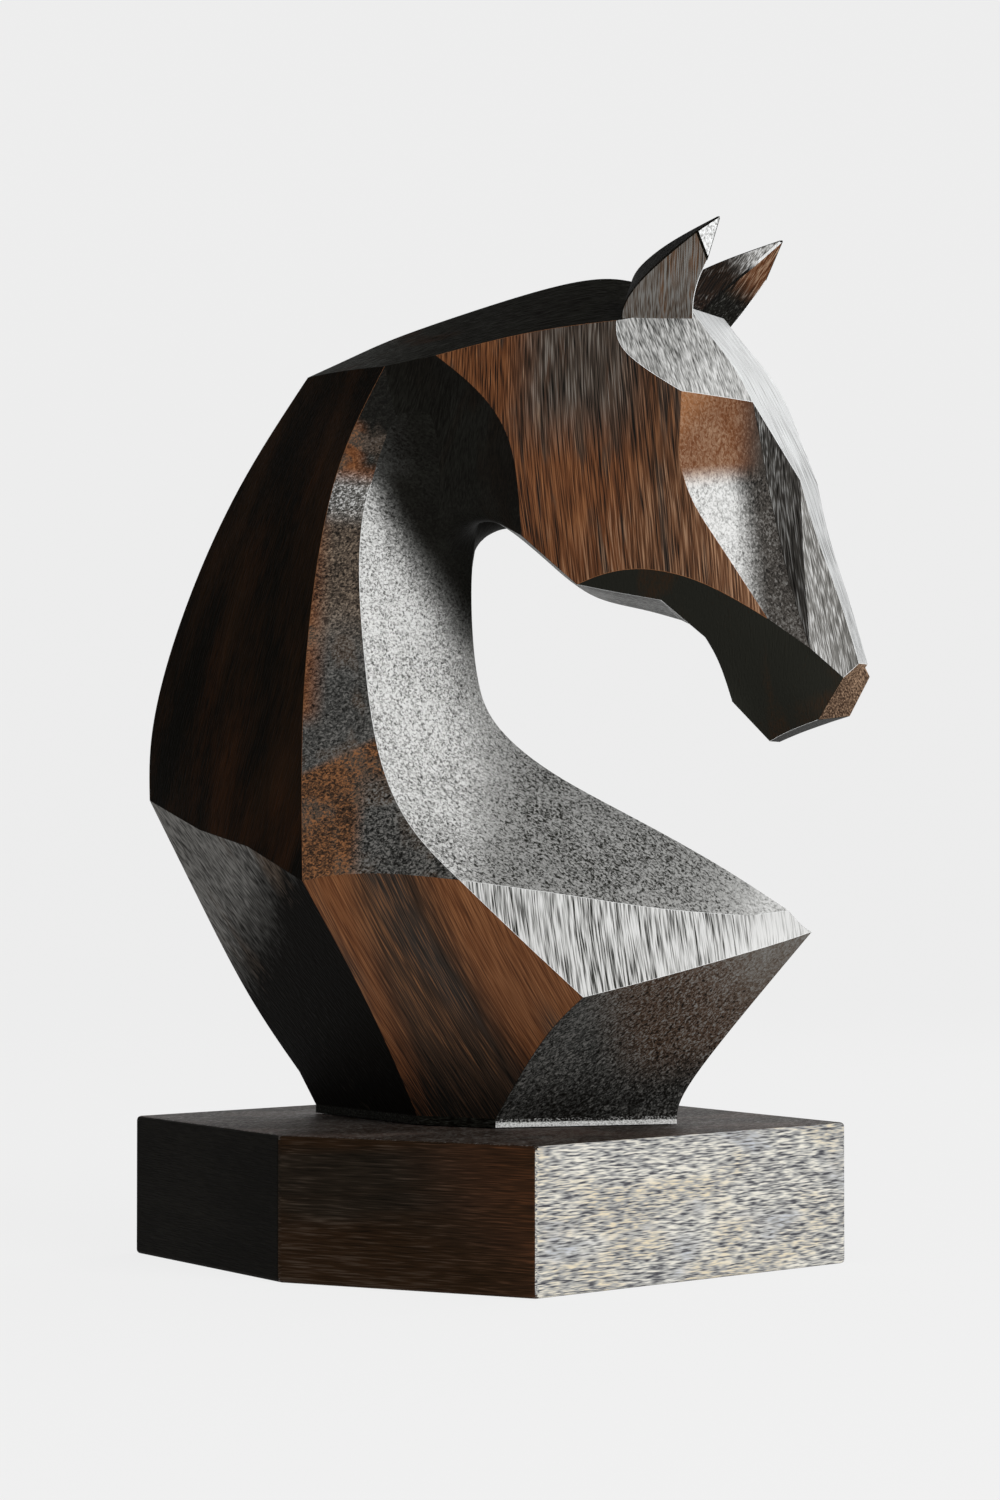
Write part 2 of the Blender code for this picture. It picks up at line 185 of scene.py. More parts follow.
def figure_facets():
    """Faces of the half figure, by the facet that they belong to."""
    return {
        "back": [
            ["back0", "mane0", "flank0", "flank1", "back1"],
            *strip(run("back", 1, 4), run("flank", 1, 4)),
            ["back4", "back5", "flank_foot0", "flank_foot1", "flank5", "flank4"],
        ],
        "side": [
            *strip(run("flank", 0, 4), run("collar", 0, 4)),
            ["flank4", "flank5", "collar6", "collar5", "collar4"],
        ],
        "neck": [
            ["collar0", "collar1", "throat1", "throat0"],
            ["collar1", "collar2", "throat2", "throat1"],
            ["collar2", "collar3", "breast1", "breast0", "throat2"],
            *strip(run("collar", 3, 6) + run("chest_top", 0, 2), run("breast", 1, 7)),
        ],
        "rump": [
            ["back5", "rump0", "shoulder0", "flank5", "flank_foot1", "flank_foot0"],
            ["rump0", "rump1", "shoulder1", "shoulder0"],
            ["rump1", "rump2", "ankle0", "ankle1", "shoulder1"],
        ],
        "shoulder": [
            ["flank5", "shoulder0", "collar7", "collar6"],
            ["shoulder0", "shoulder1", "collar8", "collar7"],
            ["shoulder1", "ankle1", "ankle2", "front0", "collar8"],
        ],
        "chest_top": [
            ["collar6", "collar7", "collar8", "chest_edge0", "chest_top1", "chest_top0"],
            ["chest_edge0", "chest_edge1", "chest_tip0", "breast7", "chest_top2", "chest_top1"],
        ],
        "chest": [
            ["collar8", "front0", "keel0", "chest_tip0", "chest_edge1", "chest_edge0"],
            ["front0", "ankle2", "ankle3", "keel0"],
        ],
        "foot": [*strip(run("ankle", 0, 2), run("sole", 0, 2)), run("sole", 0, 3)],
        "foot_line": strip(run("ankle", 2, 3), run("sole", 2, 3)),
        "mane": [
            ["back0", "mane0", "crest0"],
            ["crest0", "mane0", "flank0", "crest1"],
            ["crest1", "flank0", "mane1", "crest2"],
            *strip(run("crest", 2, 5), run("mane", 1, 4)),
            ["crest5", "mane4", "plate0", "bridge0"],
        ],
        "forehead": [
            ["mane4", "brow0", "brow1", "plate0"],
            ["brow1", "socket0", "plate1", "plate0"],
            ["socket0", "brow2", "plate2", "plate1"],
            ["brow2", "plate3", "plate2"],
        ],
        "bridge": strip(run("plate", 0, 7), run("bridge", 0, 7)),
        "throat": [
            ["flank0", "collar0", "throat0", "mane1"],
            ["throat0", "throat1", "cheek2", "cheek1", "cheek0", "mane1"],
            ["throat1", "throat2", "jaw0", "jaw1", "cheek2"],
            ["throat2", "breast0", "throat_point0", "jaw0"],
        ],
        "cheek": [
            ["mane1", "cheek0", "crown0", "mane2"],
            ["mane2", "crown0", "brow0", "mane3"],
            ["mane3", "brow0", "mane4"],
            ["cheek0", "cheek1", "crown1", "crown0"],
            ["crown0", "crown1", "brow1", "brow0"],
            ["crown1", "socket1", "socket0", "brow1"],
            ["cheek1", "cheek2", "jaw1", "crown2", "crown1"],
            ["crown1", "crown2", "socket2", "socket1"],
            ["jaw1", "jaw2", "jaw_top0", "crown2"],
            ["crown2", "jaw_top0", "jaw_top1", "crown3"],
            ["crown2", "crown3", "socket3", "socket2"],
            ["crown3", "jaw_top1", "jaw_top2", "socket3"],
            ["jaw_top2", "jaw_top3", "socket4", "socket3"],
            ["jaw_top3", "socket5", "socket4"],
        ],
        "jaw": [
            ["jaw2", "jaw3", "jaw4", "jaw_top2", "jaw_top1", "jaw_top0"],
            ["jaw_top2", "jaw4", "jaw5", "jaw_top3"],
            ["jaw_top3", "jaw5", "jaw6", "muzzle0", "socket5"],
            ["jaw6", "jaw7", "jaw8", "muzzle0"],
            ["muzzle0", "jaw8", "jaw9", "jaw10"],
            ["muzzle0", "jaw10", "socket7", "socket6"],
            ["muzzle0", "socket6", "socket5"],
        ],
        "socket": [
            ["socket1", "socket2", "hollow2", "hollow1", "hollow0"],
            ["socket2", "socket3", "socket4", "hollow3", "hollow2"],
            ["socket4", "socket5", "socket6", "hollow3"],
            ["socket0", "socket1", "hollow0", "brow2"],
            ["brow2", "hollow0", "hollow1", "plate3"],
        ],
        "hollow_wall": [
            ["plate3", "hollow1", "hollow2", "plate4"],
            ["hollow2", "hollow3", "nose_line0", "plate4"],
            ["hollow3", "socket6", "nose_line0"],
        ],
        "nose_side": [
            ["plate4", "nose_line0", "plate5"],
            ["plate5", "nose_line0", "socket6", "plate6"],
            ["plate6", "socket6", "socket7", "plate7"],
        ],
        "nose_tip": [["socket7", "plate7", "bridge7", "nose0", "nose1", "jaw10"]],
        "jaw_under": [
            ["throat_point0", "under0", "jaw0"],
            *strip(run("jaw", 0, 10), run("under", 0, 10)),
            ["jaw10", "under10", "nose1"],
        ],
    }


def figure_creases():
    """Runs of corners that stay sharp edges, each with its sharpness from 0 to 1."""
    sharp, firm, soft = 1.0, 0.75, 0.4
    return [
        (run("back", 0, 5) + run("rump", 0, 2) + ["ankle0", "sole0"], sharp),
        (["back0"] + run("crest", 0, 5) + ["bridge0"], sharp),
        (["back0", "mane0", "flank0"] + run("mane", 1, 4) + ["plate0"], sharp),
        (run("flank", 0, 5) + ["shoulder0", "shoulder1", "ankle1", "sole1"], sharp),
        (["back5", "flank_foot0", "flank_foot1", "flank5"], sharp),
        (run("collar", 1, 8) + ["front0", "ankle2", "sole2"], sharp),
        (["collar0", "collar1"], soft),
        (["throat_point0"] + run("breast", 0, 7) + ["chest_tip0"], firm),
        (["chest_tip0", "keel0", "ankle3", "sole3"], sharp),
        (["collar6"] + run("chest_top", 0, 2) + ["breast7"], sharp),
        (["collar8", "chest_edge0", "chest_edge1", "chest_tip0"], sharp),
        (["mane1"] + run("cheek", 0, 2) + ["jaw1"], sharp),
        (["throat_point0"] + run("jaw", 0, 10) + ["nose1"], sharp),
        (["throat_point0"] + run("under", 0, 5), firm),
        (["jaw2"] + run("jaw_top", 0, 3) + ["socket5"], sharp),
        *[([f"jaw{i}", f"under{i}"], sharp) for i in JAW_CROSS_EDGES],
        (run("socket", 0, 7) + ["jaw10"], sharp),
        (["mane4", "brow0", "brow1", "socket0", "brow2", "plate3"], sharp),
        (["bridge0"] + run("plate", 0, 7) + ["bridge7"], sharp),
        (["socket7", "plate7"], sharp),
        (["bridge7", "nose0", "nose1"], sharp),
        (["plate4", "nose_line0", "socket6"], sharp),
        (["plate3", "hollow1", "hollow2", "hollow3", "socket6"], firm),
        (["socket1", "hollow0", "hollow1"], soft),
        (run("ankle", 0, 3), sharp),
        (run("sole", 0, 3), sharp),
    ]


def ear_cage():
    """Corners, facets and creases of one ear."""
    corners = {"tip": EAR_TIP}
    last = len(EAR_RINGS) - 1
    for i, ring in enumerate(EAR_RINGS):
        for side, point in zip("obcf", ring):
            corners[f"{side}{i}"] = point
    facets = {}
    for facet, one, other in (("ear_back", "o", "b"), ("ear_inner", "b", "c"), ("ear_cup", "c", "f"),
                              ("ear_outer", "f", "o")):
        facets[facet] = strip(run(one, 0, last), run(other, 0, last))
        end = [f"{one}{last}", f"{other}{last}", "tip"]
        if facet == "ear_outer":
            facets["ear_tip"] = [end]
        else:
            facets[facet].append(end)
    facets["foot"] = [["o0", "b0", "c0", "f0"]]
    creases = [(run(side, 0, last) + ["tip"], 1.0) for side in "obcf"]
    creases.append((["o0", "b0", "c0", "f0", "o0"], 1.0))
    creases.append((["o3", "f3"], 1.0))
    return corners, facets, creases


def cage(name, corners, facets, creases, slots):
    """Skin over a half cage and its mirror image, with one material slot for each facet."""
    bm = bmesh.new()
    crease = bm.edges.layers.float.new("crease_edge")
    weight = bm.edges.layers.float.new("bevel_weight_edge")
    halves = []
    for side in (-1, 1):
        verts = {}
        for key, (forward, out, up) in corners.items():
            if halves and out == 0:
                verts[key] = halves[0][key]
            else:
                verts[key] = bm.verts.new(Vector((forward, side * out, up)) * SHARE)
        halves.append(verts)
    for verts in halves:
        for facet, faces in facets.items():
            for face in faces:
                bm.faces.new([verts[key] for key in face]).material_index = slots.index(facet)
        for path, sharpness in creases:
            for one, other in zip(path, path[1:]):
                edge = bm.edges.get((verts[one], verts[other]))
                edge[crease] = max(edge[crease], sharpness)
                edge[weight] = 1.0 if sharpness > 0.5 else 0.0
    loose = [vert for vert in bm.verts if not vert.link_faces]
    bmesh.ops.delete(bm, geom=loose, context="VERTS")
    bmesh.ops.recalc_face_normals(bm, faces=bm.faces)
    bm.transform(Matrix.Translation((FIGURE_MIDDLE, 0, FIGURE_BASE)))
    mesh = bpy.data.meshes.new(name)
    bm.to_mesh(mesh)
    bm.free()
    obj = bpy.data.objects.new(name, mesh)
    bpy.context.scene.collection.objects.link(obj)
    surface = obj.modifiers.new("surface", "SUBSURF")
    surface.levels = surface.render_levels = SKIN_LEVELS
    edges = obj.modifiers.new("edges", "BEVEL")
    edges.limit_method = "WEIGHT"
    edges.width = EDGE_WIDTH
    edges.segments = EDGE_SEGMENTS
    edges.material = slots.index("edge_dark")
    return obj


def finish_edges(mesh, slots):
    """Give each rounded edge the finish that its two facets call for, a painted highlight or else the dark
    edge.
    """
    bm = bmesh.new()
    bm.from_mesh(mesh)
    plain = slots.index("edge_dark")
    edge_faces = [face for face in bm.faces if face.material_index == plain]
    chosen = {}
    for face in edge_faces:
        near = set()
        ring = {face}
        for _ in range(EDGE_SEGMENTS):
            around = {other for one in ring for edge in one.edges for other in edge.link_faces}
            near |= {slots[other.material_index] for other in around if other.material_index != plain}
            ring = {other for other in around if other.material_index == plain}
        pairs = {" ".join(sorted((one, other))) for one in near for other in near if one < other}
        if len(near) == 1:
            only = near.copy().pop()
            pairs = {f"{only} {only}"}
        for finish, joined in EDGE_FINISHES.items():
            if pairs & set(joined):
                chosen[face] = slots.index(finish)
                break
    for face, slot in chosen.items():
        face.material_index = slot
    bm.to_mesh(mesh)
    bm.free()


def baked(obj):
    """The object's mesh with its modifiers worked in."""
    graph = bpy.context.evaluated_depsgraph_get()
    mesh = bpy.data.meshes.new_from_object(obj.evaluated_get(graph))
    obj.modifiers.clear()
    obj.data = mesh
    return obj


def make_figure(finishes):
    """The whole bust as one piece, facet by facet."""
    slots = list(finishes)
    figure = cage("bust_skin", figure_corners(), figure_facets(), figure_creases(), slots)
    ears = cage("ears_guide", *ear_cage(), slots)
    for obj in (figure, ears):
        for material in finishes.values():
            obj.data.materials.append(material)
        baked(obj)
        finish_edges(obj.data, slots)
    union = figure.modifiers.new("ears", "BOOLEAN")
    union.operation = "UNION"
    union.solver = "EXACT"
    union.object = ears
    baked(figure)
    bpy.data.objects.remove(ears)
    for face in figure.data.polygons:
        face.use_smooth = True
    shade = figure.modifiers.new("shade", "WEIGHTED_NORMAL")
    shade.keep_sharp = True
    shade.weight = 60
    return figure


# Wood finishes

class Tree:
    """Small helper that adds and links shader nodes."""

    def __init__(self, material):
        material.use_nodes = True
        self.tree = material.node_tree
        self.shader = self.tree.nodes["Principled BSDF"]
        self.place = self.node("ShaderNodeTexCoord").outputs["Object"]

    def node(self, kind, inputs=None, **settings):
        made = self.tree.nodes.new(kind)
        for name, value in settings.items():
            setattr(made, name, value)
        for name, value in (inputs or {}).items():
            self.set(made.inputs[name], value)
        return made

    def set(self, socket, value):
        if isinstance(value, bpy.types.NodeSocket):
            self.tree.links.new(value, socket)
        else:
            socket.default_value = value

    def math(self, operation, one, other=0.0):
        return self.node("ShaderNodeMath", {0: one, 1: other}, operation=operation).outputs[0]

    def sum(self, *values):
        total = values[0]
        for value in values[1:]:
            total = self.math("ADD", total, value)
        return total

    def scaled(self, value, times):
        return self.math("MULTIPLY", value, times)

    def vector(self, operation, one, other=(0, 0, 0)):
        made = self.node("ShaderNodeVectorMath", {0: one, 1: other}, operation=operation)
        return made.outputs["Value" if operation == "DOT_PRODUCT" else "Vector"]

    def ramp(self, value, low, high, start=0.0, end=1.0, kind="SMOOTHSTEP"):
        inputs = {"Value": value, "From Min": low, "From Max": high, "To Min": start, "To Max": end}
        return self.node("ShaderNodeMapRange", inputs, interpolation_type=kind).outputs["Result"]

    def mix(self, share, one, other):
        made = self.node("ShaderNodeMix", data_type="RGBA")
        self.set(made.inputs[0], share)
        self.set(made.inputs[6], one)
        self.set(made.inputs[7], other)
        return made.outputs[2]

    def noise(self, place, size, detail=2.0, distortion=0.0):
        inputs = {"Vector": place, "Scale": 1 / size, "Detail": detail, "Distortion": distortion}
        return self.node("ShaderNodeTexNoise", inputs).outputs["Fac"]


def mirrored_place(tree):
    """Position with the far half folded onto the near half, so both sides carry the same finish."""
    axes = tree.node("ShaderNodeSeparateXYZ", {0: tree.place})
    out = tree.math("ABSOLUTE", axes.outputs["Y"])
    return tree.node("ShaderNodeCombineXYZ", {0: axes.outputs["X"], 1: out, 2: axes.outputs["Z"]}).outputs[0]


def along_grain(tree, place, grain, stretch):
    """Position squeezed along the grain, so a noise on it turns into fibres of that direction."""
    forward = Vector(grain).normalized()
    squeeze = tuple(forward * (1 / stretch - 1))
    share = tree.node("ShaderNodeVectorMath", {0: place, 1: tuple(forward)}, operation="DOT_PRODUCT")
    moved = tree.node("ShaderNodeVectorMath", {0: squeeze}, operation="SCALE")
    tree.set(moved.inputs["Scale"], share.outputs["Value"])
    return tree.vector("ADD", place, moved.outputs["Vector"])


def point(forward, out, up):
    """A place on the figure in metres, from shares."""
    return Vector((FIGURE_MIDDLE + forward * SHARE, out * SHARE, FIGURE_BASE + up * SHARE))


def sweep(tree, place, start, end):
    """0 before start, 1 after end, measured along the line between them."""
    start, end = point(*start), point(*end)
    way = end - start
    from_start = tree.vector("SUBTRACT", place, tuple(start))
    reach = tree.vector("DOT_PRODUCT", from_start, tuple(way / way.length_squared))
    return tree.ramp(reach, 0.0, 1.0)


def blended(tree, value, changed, reach):
    """A number or a colour that turns into another one where reach is 1."""
    if isinstance(changed, tuple):
        return tree.mix(reach, value, changed)
    made = tree.node("ShaderNodeMapRange", {"Value": reach, "To Min": value, "To Max": changed})
    return made.outputs["Result"]


def wood(name, dark, body, light, cover, grain=(0, 0, 1), stretch=12.0, size=0.0004, contrast=0.5,
         drift=0.12, curl=0.3, gloss=0.12, zones=(), tints=(), face=None, mirror=True):
    """Open-grained wood whose raised fibres take its lighter tone and whose pores its darker one.
    Where the tones are pale greys and silver, the lighter tone is a painted highlight of the key light,
    and where they are near-black, painted shade; many zones paint shading across a facet.

    The tone runs from dark over body to light. cover is its middle from 0 to 1, contrast how far
    the fibres swing round it and drift how far broad patches do. zones are (start, end, changes):
    past end the named values have changed. A second start and end narrows a zone further.
    tints are (name, colour, size, level): stains of that colour where a broad noise tops level.
    face is the way the facet faces, across which the fibres hardly change, so they stay long.
    """
    material = bpy.data.materials.new(name)
    tree = Tree(material)
    place = mirrored_place(tree) if mirror else tree.place
    look = {"dark": dark, "body": body, "light": light, "cover": cover, "contrast": contrast}
    for start, end, *more, changes in zones:
        reach = sweep(tree, place, start, end)
        if more:
            reach = tree.math("MULTIPLY", reach, sweep(tree, place, *more))
        for key, changed in changes.items():
            look[key] = blended(tree, look[key], changed, reach)
    for i, (key, colour, width, level) in enumerate(tints):
        drawn_out = along_grain(tree, place, grain, 1 + stretch / 6)
        moved = tree.vector("ADD", drawn_out, (0.3 * i + 0.7, 0.2, 0.1))
        stain = tree.noise(moved, width, 3.0, 0.4)
        look[key] = tree.mix(tree.ramp(stain, level, level + 0.14), look[key], colour)

    flat = along_grain(tree, place, face, 8) if face else place
    fibres = tree.noise(along_grain(tree, flat, grain, stretch), size, 1.0, curl)
    coarse = tree.noise(along_grain(tree, flat, grain, stretch * 1.4), size * COARSE_WIDTH, 1.0, curl)
    patches = tree.noise(along_grain(tree, place, grain, 1 + stretch / 5), PATCH_WIDTH, 2.0, 0.3)
    height = tree.sum(tree.scaled(fibres, FINE_SHARE), tree.scaled(coarse, 1 - FINE_SHARE), -0.5)
    swing = tree.math("MULTIPLY", tree.scaled(height, FIBRE_SWING), look["contrast"])
    tone = tree.sum(look["cover"], swing, tree.scaled(tree.sum(patches, -0.5), drift * 4))

    low = tree.mix(tree.ramp(tone, 0.0, 0.5, kind="LINEAR"), look["dark"], look["body"])
    colour = tree.mix(tree.ramp(tone, 0.5, 1.0, kind="LINEAR"), low, look["light"])
    tree.set(tree.shader.inputs["Base Color"], colour)
    tree.set(tree.shader.inputs["Roughness"], tree.ramp(tone, 0.0, 1.0, *ROUGHNESS))
    tree.shader.inputs["Specular IOR Level"].default_value = gloss
    bump = tree.node("ShaderNodeBump", {"Height": height, "Distance": GRAIN_DEPTH, "Strength": 0.8})
    tree.set(tree.shader.inputs["Normal"], bump.outputs["Normal"])
    return material


# Colours of the wood and of the lighter tone on its fibres. The pale greys and silvers there paint the
# key light's highlight, and the near-blacks partly paint shade.
INK = (0.0025, 0.0020, 0.0012, 1)
EBONY = (0.007, 0.006, 0.004, 1)
COAL = (0.014, 0.014, 0.011, 1)
SLATE = (0.045, 0.045, 0.042, 1)
UMBER = (0.018, 0.008, 0.003, 1)
SMOKE = (0.075, 0.056, 0.042, 1)
WALNUT = (0.050, 0.026, 0.014, 1)
RUST = (0.130, 0.045, 0.015, 1)
AMBER = (0.27, 0.115, 0.045, 1)
TAN = (0.38, 0.25, 0.16, 1)
ASH = (0.16, 0.155, 0.145, 1)
PEWTER = (0.33, 0.33, 0.32, 1)
SILVER = (0.66, 0.66, 0.65, 1)
CHALK = (0.84, 0.85, 0.85, 1)
FROST = (0.45, 0.455, 0.455, 1)
RIME = (0.60, 0.615, 0.615, 1)
CREAM = (0.70, 0.67, 0.59, 1)
STRAW = (0.67, 0.58, 0.42, 1)
MIST = (0.45, 0.47, 0.51, 1)

# Grain that looks like pebbles, grain of straight lines on a facet that faces sideways, and a
# finish with hardly any shine
PEBBLE = {"stretch": 1.7, "size": 0.00062, "curl": 0.8}
LINED = {"stretch": 34.0, "size": 0.00035, "curl": 0.05}
SIDEWAYS = {"face": (0, 1, 0)}
MATT = {"gloss": 0.02}


